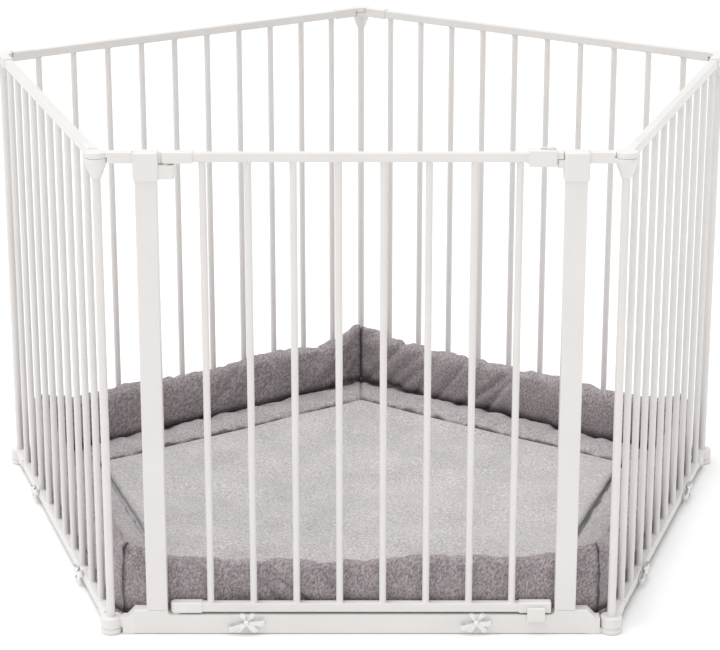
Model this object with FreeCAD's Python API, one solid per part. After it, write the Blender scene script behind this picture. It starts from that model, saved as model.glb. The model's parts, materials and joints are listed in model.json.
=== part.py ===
import FreeCAD
import Part

import math
import os

# Five-sided metal playpen with a lift-and-swing gate section and a padded mat.
# Millimetres, +Z up, the gate faces -Y.  Each section is modelled on its own line:
# x runs along the section from its eye end to its post end, y points into the pen,
# z is height.  place() then turns it to its side of the regular polygon.

# ---- overall sizes --------------------------------------------------------------------
SIDES = 5
SECTION_LENGTH = 720.0          # corner hinge axis to corner hinge axis
PEN_HEIGHT = 710.0              # floor to the top of the rails' sleeves

# ---- tubes ----------------------------------------------------------------------------
RAIL_SIZE = 13.0                # square rail
RAIL_WALL = 1.2
BAR_RADIUS = 5.0
BAR_WALL = 1.0
PANEL_BARS = 10
WELD_HEIGHT = 2.0               # small fillet weld where a bar meets its rail
WELD_FLARE = 1.2
POST_RADIUS = 6.0               # round corner post, which is also the hinge pin
POST_WALL = 1.2

# ---- corner hinge fittings ------------------------------------------------------------
SLEEVE_WALL = 1.5               # above and below the rail
SLEEVE_CHEEK = 1.0              # each side of the rail
KNUCKLE_WALL = 9.5              # from the post to the knuckle's rim
KNUCKLE_GAP = 1.5               # from the knuckle's rim to the neighbour's sleeve
LAP_GAP = 0.3                   # vertical running gap between eye and socket
RAIL_STOP = 9.0                 # solid part of a sleeve before the rail's end
RAIL_GRIP = 30.0                # length of rail inside a sleeve
CONE_HEIGHT = 22.0              # funnel below the top socket
CONE_LIP = 1.2
FOOT_HEIGHT = 8.0
FOOT_BLOCK_LENGTH = 13.0
PIN_SEAT = 5.0                  # depth of the post's end in the eye above and the foot below
FITTING_ROUND = 2.0
FUSE_REACH = 1.0                # how far a small feature runs into what it is part of

# ---- fits -----------------------------------------------------------------------------
RUNNING_FIT = 0.08              # radial, post in eye and bush on pin
SEAT_FIT = 0.03                 # per side, tube in its own sleeve
SLIDE_GAP = 0.2                 # per side, latch slide in its housing

# ---- gate section ---------------------------------------------------------------------
GATE_POST_INSET = 67.5          # corner hinge axis to the middle of the gate post
GATE_POST_WIDTH = 30.0
GATE_POST_DEPTH = 20.0
GATE_POST_WALL = 1.5
CAP_WALL = 2.5                  # each side of the post along the section
CAP_CHEEK = 2.0                 # in front of the post and behind it
CAP_HEIGHT = 40.0
CAP_TOP = 4.0
CAP_ROUND = 2.5
GATE_BARS = 8

THRESHOLD_INSET = 35.0          # corner hinge axis to the end of the beam
THRESHOLD_WALL = 1.6
THRESHOLD_TOP = 29.0            # between the gate posts
THRESHOLD_STEP = 8.0            # rise at the gate posts
THRESHOLD_EASE = 6.0            # radius of the step
THRESHOLD_ROUND = 2.0
END_SLOPE = 12.0                # run of the slope on each end piece

GATE_CHEEK = 1.5                # the gate's fittings, each side of the rail
GATE_END_GAP = 1.5              # from the cap to the gate's round end
GATE_FITTING_LENGTH = 37.0      # from the gate axis
GATE_RAIL_CAVITY = 17.0
BRACKET_LENGTH = 21.0
BRACKET_DEPTH = 18.0
BRACKET_HEIGHT = 19.5
PIVOT_PIN_RADIUS = 3.0
PIVOT_PIN_ROOT = 15.0
BUSH_WALL = 2.0
BUSH_RIM = 2.0                  # flange beyond the bush's body
BUSH_FLANGE = 1.4
BUSH_HEIGHT = 11.5
PIN_HEAD_RIM = 2.0
PIN_HEAD = 2.0
BUSH_CROWN = 1.0                # bush standing above the pin's end
BORE_TOP_GAP = 1.0
STOP_LENGTH = 47.0
STOP_END_GAP = 2.2              # from the cap's side to the gate's free bottom end
STOP_TAB_LENGTH = 26.0
STOP_TAB_THICKNESS = 4.0
STOP_TAB_DROP = 10.5
STOP_TAB_RISE = 10.0
STOP_TAB_INSET = 9.0
STOP_TAB_GAP = 0.6

# ---- latch ----------------------------------------------------------------------------
NOSE_END_GAP = 1.0              # from the nose to the cap
KEEPER_END_GAP = 1.0            # from the keeper to the housing
LATCH_BODY_LENGTH = 38.5
LATCH_COLLAR = 3.0              # rail sleeve in front of the housing
LATCH_RAIL_GRIP = 8.0
LATCH_CHEEK = 3.0               # housing beyond the rail fittings, each side
LATCH_RISE = 3.0                # housing above the rails' sleeves
LATCH_DROP = 4.0                # housing below the rails' sleeves
LATCH_WALL = 2.5
NOSE_HEIGHT = 10.0
KEEPER_GAP = 0.5
KEEPER_LENGTH = 8.5
KEEPER_DEPTH = 18.0
KEEPER_HEIGHT = 11.5
CARRIAGE_LENGTH = 12.0
CARRIAGE_DEPTH = 13.0
CARRIAGE_HEIGHT = 11.0
BUTTON_NECK = 6.0
BUTTON_LENGTH = 10.0
BUTTON_DEPTH = 14.0
BUTTON_HEIGHT = 4.2
BUTTON_CREST = 2.0              # flat top of the thumb pad's ramp
BUTTON_LOW = 2.2
BUTTON_TRAVEL = 8.0
BOLT_SETBACK = 1.2              # bolt's tip inside the nose
BOLT_SIZE = 5.0
SPRING_RADIUS = 2.6
SPRING_WIRE = 0.35
SPRING_TURNS = 6

# ---- mat ------------------------------------------------------------------------------
MAT_GAP = 1.0                   # from the threshold's inner face to the mat
MAT_PAD_HEIGHT = 25.0
MAT_WALL_THICKNESS = 24.0
MAT_WALL_TOP = 118.0
MAT_CORNER_RADIUS = 35.0

# ---- ribbon ties ----------------------------------------------------------------------
FRONT_TIE_OFFSET = 160.0        # each side of the middle of the threshold
TIE_BAY = 2.5                   # a panel's ties sit beside its bars this many pitches out
TIE_BAR_GAP = 1.0               # from the weld to the ribbon
RIBBON_WIDTH = 10.0
RIBBON_BAND = 0.7
KNOT_DEPTH = 5.0
KNOT_HEIGHT = 8.0
LOOP_LENGTH = 24.0
LOOP_DEPTH = 6.0
LOOP_HEIGHT = 11.0
TAIL_LENGTH = 17.0
TAIL_DEPTH = 1.5
TAIL_SPREAD = 7.0
FLOOR_GAP = 0.4

# ---- derived --------------------------------------------------------------------------
TURN = 2 * math.pi / SIDES
APOTHEM = SECTION_LENGTH / 2 / math.tan(TURN / 2)
CIRCUMRADIUS = SECTION_LENGTH / 2 / math.sin(TURN / 2)
HALF = SECTION_LENGTH / 2
BAR_PITCH = SECTION_LENGTH / (PANEL_BARS + 1)
SLEEVE_HEIGHT = RAIL_SIZE + 2 * SLEEVE_WALL
SLEEVE_DEPTH = RAIL_SIZE + 2 * SLEEVE_CHEEK
LAP_HEIGHT = SLEEVE_HEIGHT / 2
KNUCKLE_RADIUS = POST_RADIUS + KNUCKLE_WALL
LAP_REACH = KNUCKLE_RADIUS + KNUCKLE_GAP
RAIL_SETBACK = LAP_REACH + RAIL_STOP
SLEEVE_REACH = RAIL_SETBACK + RAIL_GRIP
FOOT_BLOCK = LAP_REACH + FOOT_BLOCK_LENGTH
TOP_SLEEVE_LOW = PEN_HEIGHT - SLEEVE_HEIGHT
TOP_RAIL_LOW = TOP_SLEEVE_LOW + SLEEVE_WALL
LAP_LEVEL = PEN_HEIGHT - LAP_HEIGHT - LAP_GAP
FOOT_SLEEVE_TOP = FOOT_HEIGHT + SLEEVE_HEIGHT
FOOT_RAIL_LOW = FOOT_HEIGHT + SLEEVE_WALL
POST_TOP = LAP_LEVEL + PIN_SEAT
POST_BOTTOM = FOOT_HEIGHT - PIN_SEAT
GATE_POST_OFFSET = HALF - GATE_POST_INSET
GATE_BAR_PITCH = (2 * GATE_POST_OFFSET - GATE_POST_WIDTH) / (GATE_BARS + 1)
THRESHOLD_HALF = HALF - THRESHOLD_INSET
THRESHOLD_DEPTH = GATE_POST_DEPTH
CAP_WIDTH = GATE_POST_WIDTH + 2 * CAP_WALL
CAP_DEPTH = GATE_POST_DEPTH + 2 * CAP_CHEEK
CAP_LOW = PEN_HEIGHT - CAP_HEIGHT
CAP_INNER = GATE_POST_OFFSET - CAP_WIDTH / 2
CAP_OUTER = GATE_POST_OFFSET + CAP_WIDTH / 2
POST_SEAT = THRESHOLD_TOP + THRESHOLD_STEP
GATE_END_RADIUS = RAIL_SIZE / 2 + GATE_CHEEK
GATE_FITTING_DEPTH = 2 * GATE_END_RADIUS
GATE_AXIS = -(CAP_INNER - GATE_END_GAP - GATE_END_RADIUS)
BUSH_RADIUS = PIVOT_PIN_RADIUS + BUSH_WALL
GATE_LOW = THRESHOLD_TOP + 2 * LAP_GAP + BUSH_FLANGE
GATE_FITTING_HEIGHT = SLEEVE_HEIGHT
GATE_RAIL_LOW = GATE_LOW + SLEEVE_WALL
BRACKET_TOP = TOP_SLEEVE_LOW - 2 * LAP_GAP - BUSH_FLANGE
STOP_END = CAP_INNER - STOP_END_GAP
NOSE_LOW = PEN_HEIGHT - NOSE_HEIGHT
LATCH_NOSE_END = CAP_INNER - NOSE_END_GAP
LATCH_BODY_END = CAP_INNER - KEEPER_LENGTH - KEEPER_END_GAP
LATCH_BODY_START = LATCH_BODY_END - LATCH_BODY_LENGTH
LATCH_START = LATCH_BODY_START - LATCH_COLLAR
LATCH_RAIL_STOP = LATCH_START + LATCH_RAIL_GRIP
LATCH_DEPTH = GATE_FITTING_DEPTH + 2 * LATCH_CHEEK
LATCH_LOW = TOP_SLEEVE_LOW - LATCH_DROP
LATCH_TOP = PEN_HEIGHT + LATCH_RISE
SLIDE_TOP = LATCH_TOP - LATCH_WALL
CARRIAGE_END = LATCH_BODY_END - LATCH_WALL
CARRIAGE_LOW = SLIDE_TOP - SLIDE_GAP - CARRIAGE_HEIGHT
SPRING_START = LATCH_RAIL_STOP + LATCH_WALL
MAT_APOTHEM = APOTHEM - THRESHOLD_DEPTH / 2 - MAT_GAP
MAT_WALL_INNER = MAT_APOTHEM - MAT_WALL_THICKNESS
TIE_FACE = THRESHOLD_DEPTH / 2 + RIBBON_BAND
PANEL_TIE_OFFSET = TIE_BAY * BAR_PITCH + BAR_RADIUS + WELD_FLARE + TIE_BAR_GAP + RIBBON_WIDTH / 2
FRONT_REACH = max(APOTHEM + TIE_FACE + LOOP_DEPTH, APOTHEM + KNUCKLE_RADIUS)
CENTRE_SHIFT = (CIRCUMRADIUS + KNUCKLE_RADIUS - FRONT_REACH) / 2

PANELS = {"right": 1, "back_right": 2, "back_left": 3, "left": 4}
OPEN_CORNER_POST = "back_right"     # its post and the back left panel's eyes stay apart
OPEN_CORNER_EYE = "back_left"


def box(x0, x1, y0, y1, z0, z1):
    """A plain block between two corners."""
    return Part.makeBox(x1 - x0, y1 - y0, z1 - z0, FreeCAD.Vector(x0, y0, z0))


def rod(radius, x, y, z0, z1):
    """An upright cylinder."""
    return Part.makeCylinder(radius, z1 - z0, FreeCAD.Vector(x, y, z0))


def pipe(radius, wall, x, y, z0, z1):
    """An upright round tube, open at both ends."""
    return rod(radius, x, y, z0, z1).cut(rod(radius - wall, x, y, z0, z1))


def rounded(shape, radius, direction=None):
    """Rounds a block's straight edges: all of them, or those along one axis."""
    edges = []
    for edge in shape.Edges:
        run = edge.Vertexes[1].Point - edge.Vertexes[0].Point
        if direction is None or abs(run.normalize().dot(direction)) > 0.999:
            edges.append(edge)
    return shape.makeFillet(radius, edges)


ALONG = FreeCAD.Vector(1, 0, 0)
UP = FreeCAD.Vector(0, 0, 1)


def sleeve_block(x0, x1, depth, z0, z1):
    """A moulded block along the rail with its long edges rounded."""
    return rounded(box(x0, x1, -depth / 2, depth / 2, z0, z1), FITTING_ROUND, ALONG)


def rail_cavity(x0, x1, z0):
    """Room for a rail's end, whose underside is at z0."""
    half = RAIL_SIZE / 2 + SEAT_FIT
    return box(x0, x1, -half, half, z0 - SEAT_FIT, z0 + RAIL_SIZE + SEAT_FIT)


def disc(x, z0, z1):
    """A knuckle disc with its rims rounded."""
    shape = rod(KNUCKLE_RADIUS, x, 0, z0, z1)
    rims = [edge for edge in shape.Edges if edge.isClosed()]
    return shape.makeFillet(FITTING_ROUND / 2, rims)


def place(shape, side):
    """Moves a section's shape to its side of the polygon, in the pen's own frame."""
    moved = shape.copy()
    moved.translate(FreeCAD.Vector(0, -APOTHEM, 0))
    moved.rotate(FreeCAD.Vector(0, 0, 0), UP, math.degrees(TURN) * side)
    moved.translate(FreeCAD.Vector(0, -CENTRE_SHIFT, 0))
    return moved


def save(name, solids, side=0):
    """Writes one node, made of one or more separate solids."""
    placed = [place(solid, side) for solid in solids]
    shape = placed[0] if len(placed) == 1 else Part.makeCompound(placed)
    if not shape.isValid():
        raise ValueError(name + " is not a valid solid")
    shape.exportStep("parts/" + name + ".step")


# ---- corner hinge fittings ------------------------------------------------------------
def top_eye(sleeve_end, cavity, bored=True):
    """Upper half of a top corner joint, at the section's eye end."""
    arm = sleeve_block(-HALF, -HALF + LAP_REACH + FITTING_ROUND, SLEEVE_DEPTH,
                       PEN_HEIGHT - LAP_HEIGHT, PEN_HEIGHT)
    body = sleeve_block(-HALF + LAP_REACH, sleeve_end, SLEEVE_DEPTH, TOP_SLEEVE_LOW, PEN_HEIGHT)
    eye = disc(-HALF, PEN_HEIGHT - LAP_HEIGHT, PEN_HEIGHT).fuse([arm, body])
    if cavity:
        eye = eye.cut(rail_cavity(-HALF + RAIL_SETBACK, sleeve_end, TOP_RAIL_LOW))
    if bored:
        eye = eye.cut(rod(POST_RADIUS + RUNNING_FIT, -HALF, 0, LAP_LEVEL, POST_TOP + LAP_GAP))
    return eye.removeSplitter()


def top_socket(sleeve_end, cavity):
    """Lower half of a top corner joint, a funnel down to the post."""
    ring = disc(HALF, TOP_SLEEVE_LOW, LAP_LEVEL)
    cone = Part.makeCone(POST_RADIUS + CONE_LIP, KNUCKLE_RADIUS, CONE_HEIGHT,
                         FreeCAD.Vector(HALF, 0, TOP_SLEEVE_LOW - CONE_HEIGHT + FITTING_ROUND / 2))
    arm = sleeve_block(HALF - LAP_REACH - FITTING_ROUND, HALF, SLEEVE_DEPTH,
                       TOP_SLEEVE_LOW, LAP_LEVEL)
    body = sleeve_block(sleeve_end, HALF - LAP_REACH, SLEEVE_DEPTH, TOP_SLEEVE_LOW, PEN_HEIGHT)
    socket = ring.fuse([cone, arm, body])
    if cavity:
        socket = socket.cut(rail_cavity(sleeve_end, HALF - RAIL_SETBACK, TOP_RAIL_LOW))
    bore = rod(POST_RADIUS + SEAT_FIT, HALF, 0, TOP_SLEEVE_LOW - CONE_HEIGHT, PEN_HEIGHT)
    return socket.cut(bore).removeSplitter()


def bottom_eye(bored=True):
    """Ring of a bottom corner joint with its sleeve over the bottom rail."""
    end = -HALF + SLEEVE_REACH
    ring = disc(-HALF, FOOT_HEIGHT + LAP_GAP, FOOT_SLEEVE_TOP)
    arm = sleeve_block(-HALF, end, SLEEVE_DEPTH, FOOT_HEIGHT + LAP_GAP, FOOT_SLEEVE_TOP)
    eye = ring.fuse(arm).cut(rail_cavity(-HALF + RAIL_SETBACK, end, FOOT_RAIL_LOW))
    if bored:
        eye = eye.cut(rod(POST_RADIUS + RUNNING_FIT, -HALF, 0, FOOT_HEIGHT, FOOT_SLEEVE_TOP))
    return eye.removeSplitter()


def foot_socket():
    """Foot of a panel's post end: a base disc, a block and the rail's sleeve."""
    base = disc(HALF, 0, FOOT_HEIGHT)
    web = box(HALF - LAP_REACH - FITTING_ROUND, HALF, -SLEEVE_DEPTH / 2, SLEEVE_DEPTH / 2,
              0, FOOT_HEIGHT)
    block = sleeve_block(HALF - FOOT_BLOCK, HALF - LAP_REACH, SLEEVE_DEPTH, 0, FOOT_SLEEVE_TOP)
    sleeve = sleeve_block(HALF - SLEEVE_REACH, HALF - LAP_REACH, SLEEVE_DEPTH,
                          FOOT_HEIGHT, FOOT_SLEEVE_TOP)
    foot = base.fuse([web, block, sleeve])
    foot = foot.cut(rail_cavity(HALF - SLEEVE_REACH, HALF - RAIL_SETBACK, FOOT_RAIL_LOW))
    foot = foot.cut(rod(POST_RADIUS + SEAT_FIT, HALF, 0, POST_BOTTOM, FOOT_HEIGHT))
    return foot.removeSplitter()


def corner_post(low, high):
    """Round tube that stands in the foot and turns in the neighbour's eyes."""
    return pipe(POST_RADIUS, POST_WALL, HALF, 0, low, high)


# ---- rails, bars and ties -------------------------------------------------------------
def rail(x0, x1, z0):
    """A square tube along the section."""
    half = RAIL_SIZE / 2
    bore = half - RAIL_WALL
    outer = rounded(box(x0, x1, -half, half, z0, z0 + RAIL_SIZE), RAIL_WALL, ALONG)
    return outer.cut(box(x0, x1, -bore, bore, z0 + RAIL_WALL, z0 + RAIL_SIZE - RAIL_WALL))


def bars(count, pitch, z0, z1):
    """Upright round bars, welded to the rails above and below."""
    flare = BAR_RADIUS + WELD_FLARE
    core = rod(BAR_RADIUS, 0, 0, z0, z1)
    low = Part.makeCone(flare, BAR_RADIUS, WELD_HEIGHT, FreeCAD.Vector(0, 0, z0))
    high = Part.makeCone(BAR_RADIUS, flare, WELD_HEIGHT, FreeCAD.Vector(0, 0, z1 - WELD_HEIGHT))
    one = core.fuse([low, high]).cut(rod(BAR_RADIUS - BAR_WALL, 0, 0, z0, z1))
    made = []
    for i in range(count):
        bar = one.copy()
        bar.translate(FreeCAD.Vector((i - (count - 1) / 2) * pitch, 0, 0))
        made.append(bar)
    return made


def bow(x, face, top):
    """A tied bow on the outer side of a rail: knot, two loops and two tails."""
    half = RIBBON_WIDTH / 2
    middle = top - KNOT_HEIGHT / 2
    knot = box(x - half, x + half, -face - KNOT_DEPTH, -face, top - KNOT_HEIGHT, top)
    parts = []
    for hand in (-1, 1):
        inner = x + hand * (half - FUSE_REACH)
        outer = x + hand * (half + LOOP_LENGTH)
        parts.append(box(min(inner, outer), max(inner, outer), -face - LOOP_DEPTH, -face,
                         middle - LOOP_HEIGHT / 2, middle + LOOP_HEIGHT / 2))
        tail = x + hand * TAIL_SPREAD
        parts.append(box(tail - half, tail + half, -face - TAIL_DEPTH, -face,
                         max(FLOOR_GAP, middle - TAIL_LENGTH), middle))
    return knot.fuse(parts).removeSplitter()


def rail_tie(x):
    """A ribbon round a panel's bottom rail, with its bow on the outside."""
    inner = RAIL_SIZE / 2
    outer = inner + RIBBON_BAND
    half = RIBBON_WIDTH / 2
    low = FOOT_RAIL_LOW - RIBBON_BAND
    high = FOOT_RAIL_LOW + RAIL_SIZE + RIBBON_BAND
    band = box(x - half, x + half, -outer, outer, low, high)
    band = band.cut(box(x - half, x + half, -inner, inner, low + RIBBON_BAND, high - RIBBON_BAND))
    return band.fuse(bow(x, outer, high - FUSE_REACH)).removeSplitter()


def threshold_tie(x):
    """A ribbon from the mat over the threshold, with its bow in front."""
    half = RIBBON_WIDTH / 2
    back = THRESHOLD_DEPTH / 2 + MAT_GAP
    front = THRESHOLD_DEPTH / 2
    band = box(x - half, x + half, -TIE_FACE, back, THRESHOLD_TOP, THRESHOLD_TOP + RIBBON_BAND)
    drop = box(x - half, x + half, -TIE_FACE, -front, THRESHOLD_TOP - KNOT_HEIGHT, THRESHOLD_TOP)
    return band.fuse([drop, bow(x, TIE_FACE, THRESHOLD_TOP - FUSE_REACH)]).removeSplitter()


def plain_panel(name, side):
    """One of the four barred panels."""
    rail_end = HALF - RAIL_SETBACK
    opened = name == OPEN_CORNER_POST
    bored = name != OPEN_CORNER_EYE
    post_low = FOOT_SLEEVE_TOP + LAP_GAP if opened else POST_BOTTOM
    post_high = LAP_LEVEL if opened else POST_TOP
    bar_low = FOOT_RAIL_LOW + RAIL_SIZE
    save(name + "_top_rail", [rail(-rail_end, rail_end, TOP_RAIL_LOW)], side)
    save(name + "_bottom_rail", [rail(-rail_end, rail_end, FOOT_RAIL_LOW)], side)
    save(name + "_bars", bars(PANEL_BARS, BAR_PITCH, bar_low, TOP_RAIL_LOW), side)
    save(name + "_corner_post", [corner_post(post_low, post_high)], side)
    save(name + "_hinge_eyes", [top_eye(-HALF + SLEEVE_REACH, True, bored), bottom_eye(bored)], side)
    save(name + "_top_socket", [top_socket(HALF - SLEEVE_REACH, True)], side)
    save(name + "_foot", [foot_socket()], side)
    save(name + "_ties", [rail_tie(-PANEL_TIE_OFFSET), rail_tie(PANEL_TIE_OFFSET)], side)


# ---- gate section ---------------------------------------------------------------------
def threshold_beam():
    """Low hollow sill, raised at both ends where the gate posts stand."""
    depth = THRESHOLD_DEPTH / 2
    inner = GATE_POST_OFFSET - GATE_POST_WIDTH / 2
    block = box(-THRESHOLD_HALF, THRESHOLD_HALF, -depth, depth, 0, POST_SEAT)
    block = rounded(block, THRESHOLD_ROUND, ALONG)
    notch = rounded(box(-inner, inner, -depth, depth, THRESHOLD_TOP, POST_SEAT + THRESHOLD_EASE * 2),
                    THRESHOLD_EASE, FreeCAD.Vector(0, 1, 0))
    block = block.cut(notch)
    hollow = depth - THRESHOLD_WALL
    block = block.cut(box(-THRESHOLD_HALF, THRESHOLD_HALF, -hollow, hollow,
                          THRESHOLD_WALL, THRESHOLD_TOP - THRESHOLD_WALL))
    hole = rod(PIVOT_PIN_RADIUS + SEAT_FIT, GATE_AXIS, 0, THRESHOLD_TOP / 2, POST_SEAT)
    return block.cut(hole).removeSplitter()


def end_piece(hand):
    """Sloped end of the threshold: a wedge that runs down to the corner knuckle."""
    depth = THRESHOLD_DEPTH / 2
    near = THRESHOLD_HALF
    slope = THRESHOLD_HALF + END_SLOPE
    far = HALF - LAP_REACH
    outline = [(near, 0), (near, POST_SEAT), (slope, FOOT_SLEEVE_TOP), (far, FOOT_SLEEVE_TOP), (far, 0)]
    points = [FreeCAD.Vector(hand * x, -depth, z) for x, z in outline]
    face = Part.Face(Part.makePolygon(points + points[:1]))
    return face.extrude(FreeCAD.Vector(0, 2 * depth, 0))


def left_threshold_end():
    """Wedge with the bottom eye, in which the left panel's post turns."""
    low = FOOT_HEIGHT + LAP_GAP
    ring = disc(-HALF, low, FOOT_SLEEVE_TOP)
    arm = sleeve_block(-HALF, -THRESHOLD_HALF, SLEEVE_DEPTH, low, FOOT_SLEEVE_TOP)
    bore = rod(POST_RADIUS + RUNNING_FIT, -HALF, 0, FOOT_HEIGHT, FOOT_SLEEVE_TOP)
    return ring.fuse([arm, end_piece(-1)]).cut(bore).removeSplitter()


def right_threshold_end():
    """Wedge with the base disc, in which the right front post stands."""
    base = disc(HALF, 0, FOOT_HEIGHT)
    web = box(HALF - LAP_REACH - 1, HALF, -SLEEVE_DEPTH / 2, SLEEVE_DEPTH / 2, 0, FOOT_HEIGHT)
    bore = rod(POST_RADIUS + SEAT_FIT, HALF, 0, POST_BOTTOM, FOOT_HEIGHT)
    return base.fuse([web, end_piece(1)]).cut(bore).removeSplitter()


def gate_post(hand):
    """Wide upright tube beside the gateway."""
    x = hand * GATE_POST_OFFSET
    w = GATE_POST_WIDTH / 2
    d = GATE_POST_DEPTH / 2
    top = PEN_HEIGHT - CAP_TOP
    outer = rounded(box(x - w, x + w, -d, d, POST_SEAT, top), THRESHOLD_ROUND, UP)
    wall = GATE_POST_WALL
    return outer.cut(box(x - w + wall, x + w - wall, -d + wall, d - wall, POST_SEAT, top))


def post_cap(hand):
    """Cap over a gate post, with the hinge bracket or the latch keeper on its inner side."""
    x = hand * GATE_POST_OFFSET
    w = CAP_WIDTH / 2
    d = CAP_DEPTH / 2
    cap = rounded(box(x - w, x + w, -d, d, CAP_LOW, PEN_HEIGHT), CAP_ROUND)
    if hand < 0:
        start = -CAP_INNER - CAP_ROUND
        lug = rounded(box(start, -CAP_INNER + BRACKET_LENGTH, -BRACKET_DEPTH / 2, BRACKET_DEPTH / 2,
                          BRACKET_TOP - BRACKET_HEIGHT, BRACKET_TOP), FITTING_ROUND, UP)
        cap = cap.fuse(lug)
        cap = cap.cut(rod(PIVOT_PIN_RADIUS + SEAT_FIT, GATE_AXIS, 0,
                          BRACKET_TOP - PIVOT_PIN_ROOT, BRACKET_TOP))
    else:
        top = NOSE_LOW - KEEPER_GAP
        ledge = box(CAP_INNER - KEEPER_LENGTH, CAP_INNER + CAP_ROUND,
                    -KEEPER_DEPTH / 2, KEEPER_DEPTH / 2, top - KEEPER_HEIGHT, top)
        cap = cap.fuse(rounded(ledge, FITTING_ROUND, UP))
    half_w = GATE_POST_WIDTH / 2 + SEAT_FIT
    half_d = GATE_POST_DEPTH / 2 + SEAT_FIT
    cavity = box(x - half_w, x + half_w, -half_d, half_d, CAP_LOW, PEN_HEIGHT - CAP_TOP)
    return cap.cut(cavity).removeSplitter()


def pivot_pins():
    """Two steel pins that the gate turns on, one in the bracket, one in the threshold."""
    upper_end = BRACKET_TOP + LAP_GAP + BUSH_HEIGHT - BUSH_CROWN
    lower_end = THRESHOLD_TOP + LAP_GAP + BUSH_HEIGHT - BUSH_CROWN
    under = THRESHOLD_TOP - THRESHOLD_WALL
    upper = rod(PIVOT_PIN_RADIUS, GATE_AXIS, 0, BRACKET_TOP - PIVOT_PIN_ROOT, upper_end)
    lower = rod(PIVOT_PIN_RADIUS, GATE_AXIS, 0, under - PIN_HEAD, lower_end)
    head = rod(PIVOT_PIN_RADIUS + PIN_HEAD_RIM, GATE_AXIS, 0, under - PIN_HEAD, under)
    return [upper, lower.fuse(head).removeSplitter()]


def pivot_bushes():
    """Flanged bushes that turn on the pins and let the gate slide up."""
    made = []
    for seat in (BRACKET_TOP + LAP_GAP, THRESHOLD_TOP + LAP_GAP):
        flange = rod(BUSH_RADIUS + BUSH_RIM, GATE_AXIS, 0, seat, seat + BUSH_FLANGE)
        body = rod(BUSH_RADIUS, GATE_AXIS, 0, seat, seat + BUSH_HEIGHT)
        bore = rod(PIVOT_PIN_RADIUS + RUNNING_FIT, GATE_AXIS, 0, seat, seat + BUSH_HEIGHT)
        made.append(flange.fuse(body).cut(bore).removeSplitter())
    return made


def gate_hinge_fitting(low):
    """End fitting on a gate rail, round about the gate's axis and bored for its bush."""
    high = low + GATE_FITTING_HEIGHT
    end = GATE_AXIS + GATE_FITTING_LENGTH
    body = sleeve_block(GATE_AXIS, end, GATE_FITTING_DEPTH, low, high)
    nose = rod(GATE_END_RADIUS, GATE_AXIS, 0, low, high)
    rims = [edge for edge in nose.Edges if edge.isClosed()]
    nose = nose.makeFillet(FITTING_ROUND, rims)
    bore_top = low - LAP_GAP - BUSH_FLANGE + BUSH_HEIGHT + BORE_TOP_GAP
    bore = rod(BUSH_RADIUS + RUNNING_FIT, GATE_AXIS, 0, low, bore_top)
    cavity = rail_cavity(end - GATE_RAIL_CAVITY, end, low + SLEEVE_WALL)
    return body.fuse(nose).cut(bore).cut(cavity).removeSplitter()


def stop_fitting():
    """Free bottom corner of the gate, with the tab that stops it at the threshold."""
    high = GATE_LOW + GATE_FITTING_HEIGHT
    start = STOP_END - STOP_LENGTH
    depth = GATE_FITTING_DEPTH
    body = rounded(box(start, STOP_END, -depth / 2, depth / 2, GATE_LOW, high), FITTING_ROUND)
    face = THRESHOLD_DEPTH / 2 + STOP_TAB_GAP
    tab_end = STOP_END - STOP_TAB_INSET
    tab = box(tab_end - STOP_TAB_LENGTH, tab_end, -face - STOP_TAB_THICKNESS, -face,
              GATE_LOW - STOP_TAB_DROP, GATE_LOW + STOP_TAB_RISE)
    tab = rounded(tab, FITTING_ROUND / 2)
    bridge = box(tab_end - STOP_TAB_LENGTH + FUSE_REACH, tab_end - FUSE_REACH,
                 -face - STOP_TAB_THICKNESS / 2,
                 -depth / 2 + FITTING_ROUND, GATE_LOW + FITTING_ROUND,
                 GATE_LOW + STOP_TAB_RISE - FUSE_REACH)
    cavity = rail_cavity(start, start + GATE_RAIL_CAVITY, GATE_RAIL_LOW)
    return body.fuse([tab, bridge]).cut(cavity).removeSplitter()


# ---- latch ----------------------------------------------------------------------------
def latch_housing():
    """Case on the gate's free top corner: rail sleeve, slide chamber and nose."""
    depth = LATCH_DEPTH / 2
    case = rounded(box(LATCH_BODY_START, LATCH_BODY_END, -depth, depth, LATCH_LOW, LATCH_TOP),
                   FITTING_ROUND)
    collar = sleeve_block(LATCH_START, LATCH_BODY_START + FITTING_ROUND * 2,
                          GATE_FITTING_DEPTH, TOP_SLEEVE_LOW, PEN_HEIGHT)
    nose = rounded(box(LATCH_BODY_END - FITTING_ROUND * 2, LATCH_NOSE_END, -GATE_END_RADIUS,
                       GATE_END_RADIUS, NOSE_LOW, PEN_HEIGHT), FITTING_ROUND / 2, ALONG)
    case = case.fuse([collar, nose])
    half = CARRIAGE_DEPTH / 2 + SLIDE_GAP
    chamber = box(SPRING_START, CARRIAGE_END, -half, half, CARRIAGE_LOW - SLIDE_GAP, SLIDE_TOP)
    slot_half = BUTTON_NECK / 2 + SLIDE_GAP
    slot = box(CARRIAGE_END - CARRIAGE_LENGTH - BUTTON_TRAVEL, CARRIAGE_END, -slot_half, slot_half,
               SLIDE_TOP, LATCH_TOP)
    bolt_half = BOLT_SIZE / 2 + SLIDE_GAP
    middle = bolt_level()
    passage = box(CARRIAGE_END, LATCH_NOSE_END, -bolt_half, bolt_half,
                  middle - bolt_half, middle + bolt_half)
    cavity = rail_cavity(LATCH_START, LATCH_RAIL_STOP, TOP_RAIL_LOW)
    return case.cut(chamber).cut(slot).cut(passage).cut(cavity).removeSplitter()


def bolt_level():
    """Height of the bolt's middle, in the nose."""
    return NOSE_LOW + NOSE_HEIGHT / 2


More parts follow.
